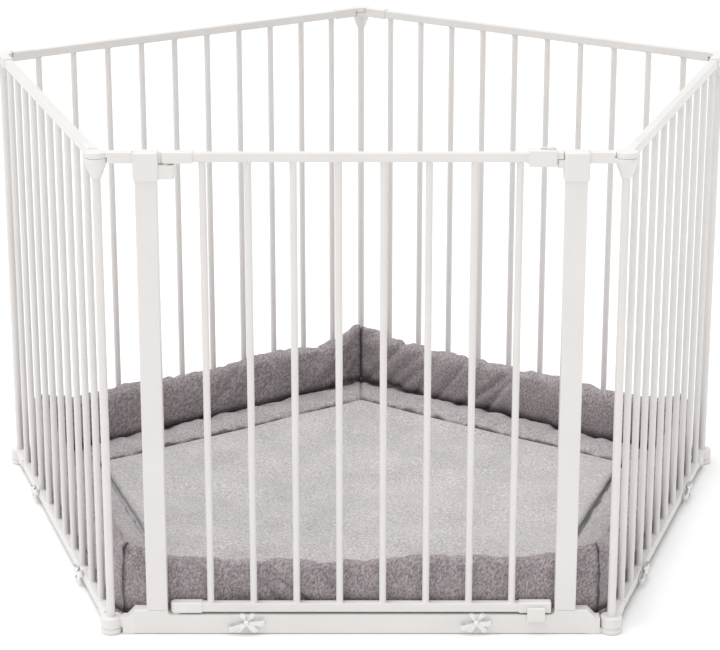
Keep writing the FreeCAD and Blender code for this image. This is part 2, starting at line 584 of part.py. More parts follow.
def latch_button():
    """Slide with its bolt, neck and ramped thumb pad."""
    end = CARRIAGE_END - SLIDE_GAP
    start = end - CARRIAGE_LENGTH
    carriage = box(start, end, -CARRIAGE_DEPTH / 2, CARRIAGE_DEPTH / 2,
                   CARRIAGE_LOW, CARRIAGE_LOW + CARRIAGE_HEIGHT)
    middle = bolt_level()
    bolt = box(end - FUSE_REACH, LATCH_NOSE_END - BOLT_SETBACK, -BOLT_SIZE / 2, BOLT_SIZE / 2,
               middle - BOLT_SIZE / 2, middle + BOLT_SIZE / 2)
    pad_low = LATCH_TOP + SLIDE_GAP
    centre = (start + end) / 2
    neck = box(centre - BUTTON_LENGTH / 2 + FUSE_REACH, centre + BUTTON_LENGTH / 2 - FUSE_REACH,
               -BUTTON_NECK / 2, BUTTON_NECK / 2,
               CARRIAGE_LOW + CARRIAGE_HEIGHT - FUSE_REACH, pad_low + FUSE_REACH)
    x0 = centre - BUTTON_LENGTH / 2
    x1 = centre + BUTTON_LENGTH / 2
    outline = [(x0, pad_low), (x0, pad_low + BUTTON_LOW), (x1 - BUTTON_CREST, pad_low + BUTTON_HEIGHT),
               (x1, pad_low + BUTTON_HEIGHT), (x1, pad_low)]
    points = [FreeCAD.Vector(x, -BUTTON_DEPTH / 2, z) for x, z in outline]
    pad = Part.Face(Part.makePolygon(points + points[:1])).extrude(FreeCAD.Vector(0, BUTTON_DEPTH, 0))
    return carriage.fuse([bolt, neck, pad]).removeSplitter()


def latch_spring():
    """Coil that returns the slide, drawn as long as it is when the slide is right back."""
    start = SPRING_START + SPRING_WIRE
    carriage_back = CARRIAGE_END - SLIDE_GAP - CARRIAGE_LENGTH - BUTTON_TRAVEL
    length = carriage_back - 2 * SLIDE_GAP - SPRING_WIRE - start
    helix = Part.makeHelix(length / SPRING_TURNS, length, SPRING_RADIUS)
    profile = Part.Wire(Part.makeCircle(SPRING_WIRE, FreeCAD.Vector(SPRING_RADIUS, 0, 0),
                                        FreeCAD.Vector(0, 1, 0)))
    coil = Part.Wire(helix).makePipeShell([profile], True, True)
    coil.rotate(FreeCAD.Vector(0, 0, 0), FreeCAD.Vector(0, 1, 0), 90)
    coil.translate(FreeCAD.Vector(start, 0, bolt_level()))
    return coil


def gate_section():
    """The front section: its fixed frame, the gate leaf and the latch."""
    stub_end = HALF - CAP_OUTER
    save("threshold_beam", [threshold_beam()])
    save("left_threshold_end", [left_threshold_end()])
    save("right_threshold_end", [right_threshold_end()])
    save("left_gate_post", [gate_post(-1)])
    save("right_gate_post", [gate_post(1)])
    save("left_post_cap", [post_cap(-1)])
    save("right_post_cap", [post_cap(1)])
    save("front_top_eye", [top_eye(-HALF + stub_end, False)])
    save("front_top_socket", [top_socket(HALF - stub_end, False)])
    save("front_corner_post", [corner_post(POST_BOTTOM, POST_TOP)])
    save("gate_pivot_pins", pivot_pins())
    save("front_ties", [threshold_tie(-FRONT_TIE_OFFSET), threshold_tie(FRONT_TIE_OFFSET)])

    hinge_cavity = GATE_AXIS + GATE_FITTING_LENGTH - GATE_RAIL_CAVITY
    stop_cavity = STOP_END - STOP_LENGTH + GATE_RAIL_CAVITY
    save("gate_top_rail", [rail(hinge_cavity, LATCH_RAIL_STOP, TOP_RAIL_LOW)])
    save("gate_bottom_rail", [rail(hinge_cavity, stop_cavity, GATE_RAIL_LOW)])
    save("gate_bars", bars(GATE_BARS, GATE_BAR_PITCH, GATE_RAIL_LOW + RAIL_SIZE, TOP_RAIL_LOW))
    save("gate_top_hinge_fitting", [gate_hinge_fitting(TOP_SLEEVE_LOW)])
    save("gate_bottom_hinge_fitting", [gate_hinge_fitting(GATE_LOW)])
    save("gate_stop_fitting", [stop_fitting()])
    save("gate_pivot_bushes", pivot_bushes())
    save("latch_housing", [latch_housing()])
    save("latch_button", [latch_button()])
    save("latch_spring", [latch_spring()])


# ---- mat ------------------------------------------------------------------------------
def polygon_prism(apothem, corner, z0, z1):
    """An upright prism on the pen's polygon, with round corners if corner isn't 0."""
    radius = apothem / math.cos(TURN / 2)
    points = []
    for k in range(SIDES):
        angle = -math.pi / 2 - TURN / 2 + TURN * k
        points.append(FreeCAD.Vector(radius * math.cos(angle), radius * math.sin(angle), z0))
    prism = Part.Face(Part.makePolygon(points + points[:1])).extrude(FreeCAD.Vector(0, 0, z1 - z0))
    return rounded(prism, corner, UP) if corner else prism


def mat_wall(side):
    """One upturned padded side of the mat, mitred to its neighbours."""
    ring = polygon_prism(MAT_APOTHEM, MAT_CORNER_RADIUS, MAT_PAD_HEIGHT, MAT_WALL_TOP)
    ring = ring.cut(polygon_prism(MAT_WALL_INNER, 0, MAT_PAD_HEIGHT, MAT_WALL_TOP))
    reach = 2 * CIRCUMRADIUS
    points = [FreeCAD.Vector(0, 0, MAT_PAD_HEIGHT)]
    for hand in (-1, 1):
        angle = -math.pi / 2 + TURN * side + hand * TURN / 2
        points.append(FreeCAD.Vector(reach * math.cos(angle), reach * math.sin(angle), MAT_PAD_HEIGHT))
    wedge = Part.Face(Part.makePolygon(points + points[:1]))
    wall = ring.common(wedge.extrude(FreeCAD.Vector(0, 0, MAT_WALL_TOP - MAT_PAD_HEIGHT)))
    wall.translate(FreeCAD.Vector(0, APOTHEM, 0))
    return wall.Solids[0]


def mat():
    """Padded floor and five padded sides."""
    pad = polygon_prism(MAT_APOTHEM, MAT_CORNER_RADIUS, 0, MAT_PAD_HEIGHT)
    pad.translate(FreeCAD.Vector(0, APOTHEM, 0))
    save("mat_pad", [pad])
    save("mat_side_front", [mat_wall(0)])
    for name, side in PANELS.items():
        save("mat_side_" + name, [mat_wall(side)])


def main():
    os.makedirs("parts", exist_ok=True)
    gate_section()
    for name, side in PANELS.items():
        plain_panel(name, side)
    mat()


main()
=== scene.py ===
import bpy
import bmesh
import json
import math
from mathutils import Matrix, Vector, noise


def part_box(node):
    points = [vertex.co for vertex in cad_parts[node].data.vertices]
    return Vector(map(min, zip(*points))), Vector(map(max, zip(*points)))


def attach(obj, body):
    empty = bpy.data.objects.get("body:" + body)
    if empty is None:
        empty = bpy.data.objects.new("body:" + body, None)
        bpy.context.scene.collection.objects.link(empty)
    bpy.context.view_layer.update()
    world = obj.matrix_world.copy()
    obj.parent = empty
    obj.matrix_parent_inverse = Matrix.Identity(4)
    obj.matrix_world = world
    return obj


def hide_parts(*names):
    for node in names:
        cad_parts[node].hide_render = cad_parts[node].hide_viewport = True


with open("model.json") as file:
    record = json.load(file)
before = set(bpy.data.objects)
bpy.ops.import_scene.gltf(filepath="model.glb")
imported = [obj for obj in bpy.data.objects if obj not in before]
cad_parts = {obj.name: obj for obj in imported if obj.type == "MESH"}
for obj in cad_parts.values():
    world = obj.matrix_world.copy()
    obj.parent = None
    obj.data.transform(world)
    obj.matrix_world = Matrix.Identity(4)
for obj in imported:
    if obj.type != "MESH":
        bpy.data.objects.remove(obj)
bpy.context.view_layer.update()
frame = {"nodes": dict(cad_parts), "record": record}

MM = 0.001
SIDES = 5
SIDE_NAMES = ["front", "right", "back_right", "back_left", "left"]
TURN = 2 * math.pi / SIDES
MERGE = 0.000001                  # points nearer than this are one
MITRE_LAP = 1.6 * MM              # how far neighbouring sides press into each other
FLOOR_DROP = -0.0005              # the studio floor lies just under the pen's feet


# ---- places read from the frame -------------------------------------------------------
def middle(node):
    """The middle of a CAD node's box."""
    low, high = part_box(node)
    return (Vector(low) + Vector(high)) / 2


THRESHOLD = middle("threshold_beam")
PAD_LOW, PAD_HIGH = (Vector(v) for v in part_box("mat_pad"))
WALL_HIGH = Vector(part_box("mat_side_front")[1])
POST_LOW, POST_HIGH = (Vector(v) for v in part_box("front_corner_post"))
SECTION = POST_LOW.x + POST_HIGH.x                           # corner axis to corner axis
APOTHEM = SECTION / 2 / math.tan(TURN / 2)
CENTRE = Vector((0, THRESHOLD.y + APOTHEM, 0))               # middle of the pen's pentagon
MAT_EDGE = CENTRE.y - PAD_LOW.y                              # mat's outer distance from the middle
WALL_INNER = CENTRE.y - WALL_HIGH.y
WALL_THICKNESS = MAT_EDGE - WALL_INNER
PAD_TOP = PAD_HIGH.z
WALL_TOP = WALL_HIGH.z
RAIL_LOW, RAIL_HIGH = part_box("right_bottom_rail")[0][2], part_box("right_bottom_rail")[1][2]
RAIL_SIZE = RAIL_HIGH - RAIL_LOW
TIES_HIGH = Vector(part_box("front_ties")[1])


def to_side(point, side):
    """From a section's own line (x along, y outward distance from the middle, z) to the frame."""
    x, out, z = point
    turn = Matrix.Rotation(TURN * side, 3, "Z")
    return turn @ Vector((x, -out, z)) + CENTRE


# ---- materials ------------------------------------------------------------------------
class Shader:
    """A Principled material with a few helpers for its node tree."""

    def __init__(self, name, colour, roughness):
        self.material = bpy.data.materials.new(name)
        self.material.use_nodes = True
        self.tree = self.material.node_tree
        self.bsdf = self.tree.nodes["Principled BSDF"]
        self.bsdf.inputs["Base Color"].default_value = (*colour, 1)
        self.bsdf.inputs["Roughness"].default_value = roughness

    def node(self, kind, **inputs):
        """A new node with these input values."""
        made = self.tree.nodes.new(kind)
        for key, value in inputs.items():
            made.inputs[key].default_value = value
        return made

    def link(self, out, into):
        self.tree.links.new(out, into)

    def coordinates(self, scale=(1, 1, 1)):
        """The piece's own coordinates, in metres, scaled."""
        place = self.tree.nodes.new("ShaderNodeTexCoord")
        mapping = self.tree.nodes.new("ShaderNodeMapping")
        mapping.inputs["Scale"].default_value = scale
        self.link(place.outputs["Object"], mapping.inputs["Vector"])
        return mapping.outputs["Vector"]

    def on_the_bias(self, scale):
        """The piece's coordinates turned so that their second axis slants up and across, then stretched."""
        place = self.tree.nodes.new("ShaderNodeTexCoord")
        mapping = self.tree.nodes.new("ShaderNodeMapping")
        mapping.vector_type = "TEXTURE"
        mapping.inputs["Scale"].default_value = scale
        mapping.inputs["Rotation"].default_value = (math.radians(38), 0, math.radians(-50))
        self.link(place.outputs["Object"], mapping.inputs["Vector"])
        return mapping.outputs["Vector"]

    def noise(self, vector, scale, detail=3.0, roughness=0.5):
        """Fractal noise, from 0 to 1."""
        made = self.node("ShaderNodeTexNoise", Scale=scale, Detail=detail, Roughness=roughness)
        self.link(vector, made.inputs["Vector"])
        return made.outputs["Fac"]

    def ramp(self, value, stops):
        """A colour ramp through (position, colour) stops."""
        made = self.tree.nodes.new("ShaderNodeValToRGB")
        elements = made.color_ramp.elements
        while len(elements) < len(stops):
            elements.new(0.5)
        for element, (position, colour) in zip(elements, stops):
            element.position = position
            element.color = (*colour, 1)
        self.link(value, made.inputs["Fac"])
        return made.outputs["Color"]

    def spread(self, value, low, high):
        """Maps 0..1 to low..high."""
        made = self.tree.nodes.new("ShaderNodeMapRange")
        made.inputs["To Min"].default_value = low
        made.inputs["To Max"].default_value = high
        self.link(value, made.inputs["Value"])
        return made.outputs["Result"]

    def mix(self, a, b, factor, kind="MIX"):
        """Two colours blended by a fixed factor."""
        made = self.tree.nodes.new("ShaderNodeMix")
        made.data_type = "RGBA"
        made.blend_type = kind
        made.inputs["Factor"].default_value = factor
        self.link(a, made.inputs["A"])
        self.link(b, made.inputs["B"])
        return made.outputs["Result"]

    def math(self, kind, a, b):
        """One sum of two values, each a number or a node's output."""
        made = self.tree.nodes.new("ShaderNodeMath")
        made.operation = kind
        for socket, value in zip(made.inputs, (a, b)):
            if isinstance(value, (int, float)):
                socket.default_value = value
            else:
                self.link(value, socket)
        return made.outputs["Value"]

    def bump(self, height, strength, distance):
        """Fine relief from a height, too small for the mesh."""
        made = self.tree.nodes.new("ShaderNodeBump")
        made.inputs["Strength"].default_value = strength
        made.inputs["Distance"].default_value = distance
        self.link(height, made.inputs["Height"])
        self.link(made.outputs["Normal"], self.bsdf.inputs["Normal"])


def shade(colour, factor):
    """The same colour, lighter or darker."""
    return tuple(min(1.0, c * factor) for c in colour)


def coated_steel():
    """Satin white powder coat: faint mottling and a fine orange-peel surface."""
    base = (0.785, 0.762, 0.742)
    s = Shader("powder_coat", base, 0.36)
    place = s.coordinates()
    mottle = s.noise(place, 14.0, 4.0)
    s.link(s.ramp(mottle, [(0.3, shade(base, 0.975)), (0.7, shade(base, 1.02))]),
           s.bsdf.inputs["Base Color"])
    s.link(s.spread(s.noise(place, 60.0), 0.30, 0.44), s.bsdf.inputs["Roughness"])
    s.bump(s.noise(place, 700.0, 2.0), 0.12, 0.0003)
    s.bsdf.inputs["Coat Weight"].default_value = 0.15
    s.bsdf.inputs["Coat Roughness"].default_value = 0.25
    return s.material


def moulded_plastic():
    """White moulding: smoother and a little brighter than the coated steel."""
    base = (0.80, 0.778, 0.758)
    s = Shader("white_moulding", base, 0.4)
    place = s.coordinates()
    s.link(s.ramp(s.noise(place, 25.0), [(0.3, shade(base, 0.985)), (0.7, shade(base, 1.015))]),
           s.bsdf.inputs["Base Color"])
    s.link(s.spread(s.noise(place, 220.0), 0.36, 0.48), s.bsdf.inputs["Roughness"])
    s.bump(s.noise(place, 1500.0, 2.0), 0.15, 0.0001)
    return s.material


def turned_steel():
    """Pins and spring: steel with fine rings from turning."""
    s = Shader("turned_steel", (0.55, 0.55, 0.56), 0.3)
    s.bsdf.inputs["Metallic"].default_value = 1.0
    rings = s.noise(s.coordinates(scale=(20, 20, 1600)), 1.0, 2.0)
    s.link(s.spread(rings, 0.22, 0.42), s.bsdf.inputs["Roughness"])
    s.bump(rings, 0.2, 0.00005)
    return s.material


SEAM_THREAD_AND_PAINTED_SHADE = (0.22, 0.19, 0.20)  # the dark thread at a seam, with painted shade of the deep fold there


def heathered_cloth(name, base, contrast):
    """Grey-brown melange: light and dark fibres lying on the bias, over a fine twill."""
    s = Shader(name, base, 0.9)
    fibres = s.noise(s.on_the_bias(scale=(1.0, 3.6, 1.6)), 520.0, 3.0, 0.6)
    specks = s.noise(s.coordinates(), 900.0, 2.0, 0.6)
    patches = s.noise(s.coordinates(), 11.0, 3.0)
    melange = s.ramp(fibres, [(0.36, shade(base, 1 - contrast)), (0.5, base),
                              (0.64, shade(base, 1 + contrast * 1.15))])
    flecks = s.ramp(specks, [(0.36, shade(base, 0.75)), (0.64, shade(base, 1.25))])
    cloth = s.mix(melange, flecks, 0.3)
    tone = s.ramp(patches, [(0.3, (0.90, 0.90, 0.90)), (0.7, (1.08, 1.075, 1.08))])
    # Painted shade with real thread: the "seam" attribute darkens the cloth towards the dark seam colour at
    # seam threads and in folds and creases, where shade falls
    seam = s.tree.nodes.new("ShaderNodeAttribute")
    seam.attribute_name = "seam"
    thread_and_painted_shade = s.ramp(seam.outputs["Fac"], [(0.0, (1.0, 1.0, 1.0)), (1.0, SEAM_THREAD_AND_PAINTED_SHADE)])
    toned = s.mix(cloth, tone, 1.0, "MULTIPLY")
    s.link(s.mix(toned, thread_and_painted_shade, 1.0, "MULTIPLY"), s.bsdf.inputs["Base Color"])
    wave = s.node("ShaderNodeTexWave", Scale=260.0, Distortion=1.2, Detail=1.0)
    wave.bands_direction = "DIAGONAL"
    s.link(s.coordinates(), wave.inputs["Vector"])
    weave = s.math("ADD", s.math("MULTIPLY", wave.outputs["Fac"], 0.4), fibres)
    s.bump(weave, 0.55, 0.0010)
    s.bsdf.inputs["Sheen Weight"].default_value = 0.2
    s.bsdf.inputs["Sheen Roughness"].default_value = 0.5
    s.bsdf.inputs["Specular IOR Level"].default_value = 0.2
    return s.material


def satin_ribbon():
    """White satin: a soft gloss broken by threads along and across the ribbon."""
    base = (0.84, 0.835, 0.83)
    s = Shader("satin_ribbon", base, 0.35)
    threads = s.noise(s.coordinates(), 2200.0, 2.0)
    s.link(s.ramp(threads, [(0.3, shade(base, 0.93)), (0.7, shade(base, 1.04))]),
           s.bsdf.inputs["Base Color"])
    s.link(s.spread(threads, 0.28, 0.5), s.bsdf.inputs["Roughness"])
    s.bump(threads, 0.3, 0.0002)
    s.bsdf.inputs["Sheen Weight"].default_value = 0.3
    return s.material


# The mat is one heathered fabric. Its three colours are mostly painted light and shade: the middle panel
# lighter, as lit from above; the border a little darker; the upturned sides darker, as shaded.
SHADED_SIDE_COLOUR = (0.330, 0.292, 0.302)
LIT_PANEL_COLOUR = (0.485, 0.458, 0.462)
HALF_SHADED_BORDER_COLOUR = (0.400, 0.368, 0.374)
MATERIALS = {
    "frame_steel": coated_steel(),
    "fitting_plastic": moulded_plastic(),
    "pin_steel": turned_steel(),
    "mat_fabric": heathered_cloth("heathered_cloth", SHADED_SIDE_COLOUR, 0.55),
    "ribbon": satin_ribbon(),
}
LIT_PANEL_CLOTH = heathered_cloth("lit_panel_cloth", LIT_PANEL_COLOUR, 0.40)
HALF_SHADED_BORDER_CLOTH = heathered_cloth("half_shaded_border_cloth", HALF_SHADED_BORDER_COLOUR, 0.45)


def finish_nodes():
    """Gives every carried-over CAD node the detailed material of its slot."""
    slots = {sub["node"]: sub["material_slot"] for sub in frame["record"]["subparts"]}
    for name, node in frame["nodes"].items():
        for held in node.material_slots:
            held.material = MATERIALS[slots[name]]


# ---- mesh helpers ---------------------------------------------------------------------
def new_piece(name, verts, faces, slot, body):
    """A smooth mesh object with its slot's material, which rides on a body."""
    mesh = bpy.data.meshes.new(name)
    mesh.from_pydata([tuple(v) for v in verts], [], faces)
    bm = bmesh.new()
    bm.from_mesh(mesh)
    bmesh.ops.remove_doubles(bm, verts=bm.verts, dist=MERGE)
    bmesh.ops.recalc_face_normals(bm, faces=bm.faces)
    bm.to_mesh(mesh)
    bm.free()
    piece = bpy.data.objects.new(name, mesh)
    bpy.context.scene.collection.objects.link(piece)
    mesh.materials.append(MATERIALS[slot])
    mesh.polygons.foreach_set("use_smooth", [True] * len(mesh.polygons))
    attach(piece, body)
    return piece


def subdivide(piece):
    """Replaces a piece's mesh with its smooth subdivision."""
    rounding = piece.modifiers.new("rounding", "SUBSURF")
    rounding.levels = 1
    finer = bpy.data.meshes.new_from_object(piece.evaluated_get(bpy.context.evaluated_depsgraph_get()))
    piece.modifiers.clear()
    piece.data = finer


def displace(piece, offset):
    """Moves each vertex along its normal by offset(position)."""
    moves = [vertex.normal * offset(vertex.co) for vertex in piece.data.vertices]
    for vertex, move in zip(piece.data.vertices, moves):
        vertex.co += move


def mark_seams_and_painted_shade(piece, amount):
    """Stores how far each vertex lies in a seam or fold, from 0 to 1, for the cloth's colour: dark thread and
    painted shade.
    """
    marks = piece.data.attributes.new("seam", "FLOAT", "POINT")
    marks.data.foreach_set("value", [min(1.0, amount(v.co)) for v in piece.data.vertices])


def spaced(low, high, count):
    """Evenly spaced values from low to high, one more than count."""
    return [low + (high - low) * i / count for i in range(count + 1)]


def wobble(x, y, seed, scale):
    """Smooth noise from -1 to 1."""
    return noise.noise(Vector((x * scale, y * scale, seed * 17.3)))


def ridges(x, y, seed, scale):
    """Sharp creases between soft swells, from -1 to 0."""
    return -(1 - min(1.0, abs(wobble(x, y, seed, scale)) * 4)) ** 2


def bell(distance, width):
    """1 at no distance, and close to 0 beyond two widths."""
    return math.exp(-(distance / width) ** 2)


def tube_faces(rings, around, closed):
    """Quads of a tube of rings, each of so many points; closed joins the last ring to the first."""
    faces = []
    for ring in range(rings if closed else rings - 1):
        a, b = ring * around, (ring + 1) % rings * around
        for k in range(around):
            j = (k + 1) % around
            faces.append((a + k, a + j, b + j, b + k))
    return faces


# ---- padded cloth ---------------------------------------------------------------------
CLOTH_FRAMES = 20
CLOTH = []                       # (piece, pressure, growth, largest move, finishing step)


def add_cloth(piece, loose, pressure, growth, cap, finishing):
    """Queues a piece for the one cloth run; loose(position) is false where it is sewn."""
    group = piece.vertex_groups.new(name="sewn")
    sewn = [v.index for v in piece.data.vertices if not loose(v.co)]
    group.add(sewn, 1.0, "REPLACE")
    CLOTH.append((piece, pressure, growth, cap, finishing))


def start_cloth(piece, pressure, growth):
    """Gives a piece a soft, light cloth that is blown up and slightly too large."""
    cloth = piece.modifiers.new("cloth", "CLOTH")
    cloth.point_cache.frame_start = 1
    cloth.point_cache.frame_end = CLOTH_FRAMES
    cloth.collision_settings.use_collision = False
    settings = cloth.settings
    settings.quality = 5
    settings.mass = 0.25
    settings.air_damping = 4
    settings.tension_stiffness = 20
    settings.compression_stiffness = 12
    settings.shear_stiffness = 6
    settings.bending_stiffness = 0.12
    settings.use_pressure = True
    settings.uniform_pressure_force = pressure
    settings.shrink_min = -growth
    settings.vertex_group_mass = "sewn"
    settings.effector_weights.gravity = 0


def run_cloth():
    """Inflates every queued piece at once, keeps the result, then adds the fine wrinkles."""
    scene = bpy.context.scene
    for piece, pressure, growth, cap, finishing in CLOTH:
        start_cloth(piece, pressure, growth)
    for number in range(1, CLOTH_FRAMES + 1):
        scene.frame_set(number)
    graph = bpy.context.evaluated_depsgraph_get()
    for piece, pressure, growth, cap, finishing in CLOTH:
        shape = piece.evaluated_get(graph).to_mesh()
        places = [v.co.copy() for v in shape.vertices]
        piece.evaluated_get(graph).to_mesh_clear()
        for vertex, place in zip(piece.data.vertices, places):
            step = place - vertex.co
            vertex.co += step * min(1.0, cap / max(step.length, MERGE))
    for piece, pressure, growth, cap, finishing in CLOTH:
        piece.modifiers.clear()
    scene.frame_set(1)
    for piece, pressure, growth, cap, finishing in CLOTH:
        piece.vertex_groups.clear()
        subdivide(piece)
        finishing(piece)


# ---- the mat's floor ------------------------------------------------------------------
BORDER_WIDTH = 84 * MM
SEAM = WALL_INNER - BORDER_WIDTH  # seam between the middle panel and the border
SEAM_DEPTH = 6.0 * MM
SEAM_VALLEY = 7 * MM             # how far beside the seam the padding is drawn down
SEAM_GAP = 0.5 * MM              # from the seam to the edge of either piece
THREAD_AND_SHADE_WIDTH = 3.2 * MM          # half of the dark line at the seam: its thread, with painted shade in the seam's valley
PANEL_CELLS = 26                 # along each edge of a patch
PANEL_FOLD = 6.5 * MM
FOLD_FADE = 50 * MM              # the panel's folds fade out over this width beside its seam
BORDER_COLUMNS = 64              # along each side
BORDER_POINTS = 15               # across its top
BORDER_LAP = 4 * MM              # how far its visible top reaches under a side
BORDER_GATHER = 4.2 * MM
BORDER_SWELL = 2.4 * MM
CREASE_DEPTH = 8 * MM            # where the border goes under a side
CREASE_WIDTH = 8 * MM
GATHER_WIDTH = 15 * MM           # about how far from a seam its gathers reach
MITRE_DEPTH = 3.5 * MM
PAD_BASE = 0.6 * MM
FLOOR_CROWN = PAD_TOP - 4 * MM
HALF_TURN = math.tan(TURN / 2)


def section_of(point):
    """(side, x along it, distance out) of a place in the frame."""
    flat = Vector((point.x, point.y)) - Vector((CENTRE.x, CENTRE.y))
    side = round((math.atan2(flat.y, flat.x) + math.pi / 2) / TURN) % SIDES
    angle = TURN * side
    x = flat.x * math.cos(angle) + flat.y * math.sin(angle)
    out = flat.x * math.sin(angle) - flat.y * math.cos(angle)
    return side, x, out


def to_mitre(x, out):
    """From a place in a section to the nearer of its two mitres."""
    return out * HALF_TURN - abs(x)


def panel_folds(point):
    """Broad soft folds of the middle panel, lying mostly across the pen."""
    side, x, out = section_of(point)
    fade = min(1.0, max(0.0, (SEAM - out) / FOLD_FADE))
    broad = wobble(point.x * 0.45, point.y + 0.25 * point.x, 3, 11)
    soft = wobble(point.x, point.y * 2.2, 8, 5)
    return fade * (PANEL_FOLD * broad + PANEL_FOLD * soft)


def mat_panel():
    """The middle panel, a closed pad of five four-sided patches."""
    edge = SEAM - SEAM_GAP
    verts = []
    faces = []
    for side in range(SIDES):
        start_edge = to_side((0, edge, 0), side)
        corner = to_side((edge * HALF_TURN, edge, 0), side)
        end_edge = to_side((0, edge, 0), side + 1)
        for top in (True, False):
            first = len(verts)
            for i in range(PANEL_CELLS + 1):
                a = i / PANEL_CELLS
                for j in range(PANEL_CELLS + 1):
                    b = j / PANEL_CELLS
                    flat = (CENTRE * (1 - a) * (1 - b) + start_edge * a * (1 - b)
                            + corner * a * b + end_edge * (1 - a) * b)
                    out = section_of(flat)[2]
                    rise = 1 - bell(edge - out, SEAM_VALLEY)
                    thick = FLOOR_CROWN - SEAM_DEPTH
                    high = thick + SEAM_DEPTH * rise
                    low = thick - (thick - PAD_BASE) * min(1, rise * 3)
                    verts.append(Vector((flat.x, flat.y, high if top else low)))
            row = PANEL_CELLS + 1
            for i in range(PANEL_CELLS):
                for j in range(PANEL_CELLS):
                    at = first + i * row + j
                    quad = (at, at + row, at + row + 1, at + 1)
                    faces.append(quad if top else quad[::-1])
    piece = new_piece("mat_panel", verts, faces, "mat_fabric", "gate_frame")
    piece.data.materials[0] = LIT_PANEL_CLOTH
    subdivide(piece)
    for vertex in piece.data.vertices:
        if vertex.normal.z > 0.3:
            vertex.co.z += panel_folds(vertex.co)
    # Dark thread with painted shade of the valley along the seam
    mark_seams_and_painted_shade(piece, lambda point: bell(SEAM - section_of(point)[2], THREAD_AND_SHADE_WIDTH))
    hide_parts("mat_pad")


def border_gathers(point):
    """Small gathers beside both seams and a crease along each mitre."""
    side, x, out = section_of(point)
    if point.z < FLOOR_CROWN / 2:
        return 0.0
    mitre = to_mitre(x, out)
    inner = bell(out - SEAM, GATHER_WIDTH)
    outer = bell(WALL_INNER - out, GATHER_WIDTH)
    gathers = BORDER_GATHER * wobble(x, side * 0.7 + out * 0.25, 11, 55) * (inner + outer)
    swells = BORDER_SWELL * wobble(x, out * 0.6 + side, 13, 17)
    return gathers + swells - MITRE_DEPTH * bell(mitre, 5 * MM)


def mat_border():
    """The padded ring round the middle panel, whose outer part lies under the sides."""
    profile = []
    for out in spaced(SEAM + SEAM_GAP, WALL_INNER + BORDER_LAP, BORDER_POINTS):
        valley = SEAM_DEPTH * bell(out - SEAM, SEAM_VALLEY)
        crease = CREASE_DEPTH * bell(WALL_INNER + 2 * MM - out, CREASE_WIDTH)
        profile.append((out, FLOOR_CROWN - valley - crease))
    edge = MAT_EDGE - 1.0 * MM
    # on under the side, round the mat's edge, and back along the floor to the seam
    profile += [(WALL_INNER + 12 * MM, FLOOR_CROWN - 5 * MM), (edge - 4 * MM, FLOOR_CROWN - 2 * MM),
                (edge, FLOOR_CROWN - 7 * MM), (edge, 5 * MM), (edge - 3 * MM, PAD_BASE)]
    profile += [(out, PAD_BASE) for out in spaced(WALL_INNER, SEAM + 4 * MM, 4)]
    profile += [(SEAM + SEAM_GAP, 6 * MM)]
    verts = []
    for side in range(SIDES):
        for i in range(BORDER_COLUMNS):
            t = -1 + 2 * i / BORDER_COLUMNS
            for out, z in profile:
                near = (1 - abs(t)) * out * HALF_TURN
                pull = CORNER_PULL * bell(near, CORNER_WIDTH)
                drawn = out - pull * max(0, (out - WALL_INNER) / WALL_THICKNESS)
                verts.append(to_side((t * drawn * HALF_TURN, drawn, z), side))
    faces = tube_faces(SIDES * BORDER_COLUMNS, len(profile), True)
    piece = new_piece("mat_border", verts, faces, "mat_fabric", "gate_frame")
    piece.data.materials[0] = HALF_SHADED_BORDER_CLOTH

    def loose(point):
        side, x, out = section_of(point)
        mitre = to_mitre(x, out)
        return SEAM + 5 * MM < out < WALL_INNER - 4 * MM and mitre > 5 * MM and point.z > FLOOR_CROWN / 2

    # Dark thread at the seam; painted shade in the crease where the border goes under a side and along each
    # mitre
    def stitching_and_painted_shade(point):
        side, x, out = section_of(point)
        mitre = to_mitre(x, out)
        return (bell(out - SEAM, THREAD_AND_SHADE_WIDTH) + 0.8 * bell(WALL_INNER + 1 * MM - out, CREASE_WIDTH)
                + 0.6 * bell(mitre, 3 * MM))

    def finishing(target):
        displace(target, border_gathers)
        mark_seams_and_painted_shade(target, stitching_and_painted_shade)

    add_cloth(piece, loose, pressure=3.0, growth=0.04, cap=6 * MM, finishing=finishing)
    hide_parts("mat_pad")


# ---- the mat's upturned sides ---------------------------------------------------------
WALL_COLUMNS = 96
WALL_ROUND = 7                   # points over the rolled top
WALL_FLAT = 8                    # points up each face
WALL_FOOT = PAD_TOP - 12 * MM
INNER_BULGE = 5 * MM             # how far the stuffing rounds the face towards the pen
CREST_DROP = 9 * MM              # of the top edge's middle height, under the CAD side's top
CREST_WAVE = 7 * MM
CREST_RIPPLE = 3 * MM
CREST_STILL = 36 * MM            # the waves fade out towards a mitre over about this length
EAR_RISE = 15 * MM               # how much higher a side stands at its mitres
EAR_LENGTH = 48 * MM
CORNER_PULL = 7 * MM             # how far the mat's corners stay back from the corner posts
CORNER_WIDTH = 24 * MM           # how far along a side that pull is felt
HOLD_WIDTH = 26 * MM             # the same for the outer face, after the folds
WALL_SET_BACK = 3.5 * MM         # of a side's middle, so that inflated it still fits the bars
GATHER_DEPTH = 3.6 * MM          # under the rolled edge
MITRE_GATHER = 3.0 * MM
SLANT_DEPTH = 12 * MM
DENT_DEPTH = 4.0 * MM
OUTER_LIMIT = MAT_EDGE + 0.4 * MM


def wall_crest(x, side):
    """Height of a side's top edge: a little uneven, higher towards the mitred corners."""
    end = WALL_INNER * HALF_TURN
    sag = CREST_WAVE * wobble(x, side * 3.1, 5, 6.5) + CREST_RIPPLE * wobble(x, side, 6, 26)
    sag *= 1 - bell(end - abs(x), CREST_STILL)
    return WALL_TOP - CREST_DROP + EAR_RISE * bell(end - abs(x), EAR_LENGTH) + sag


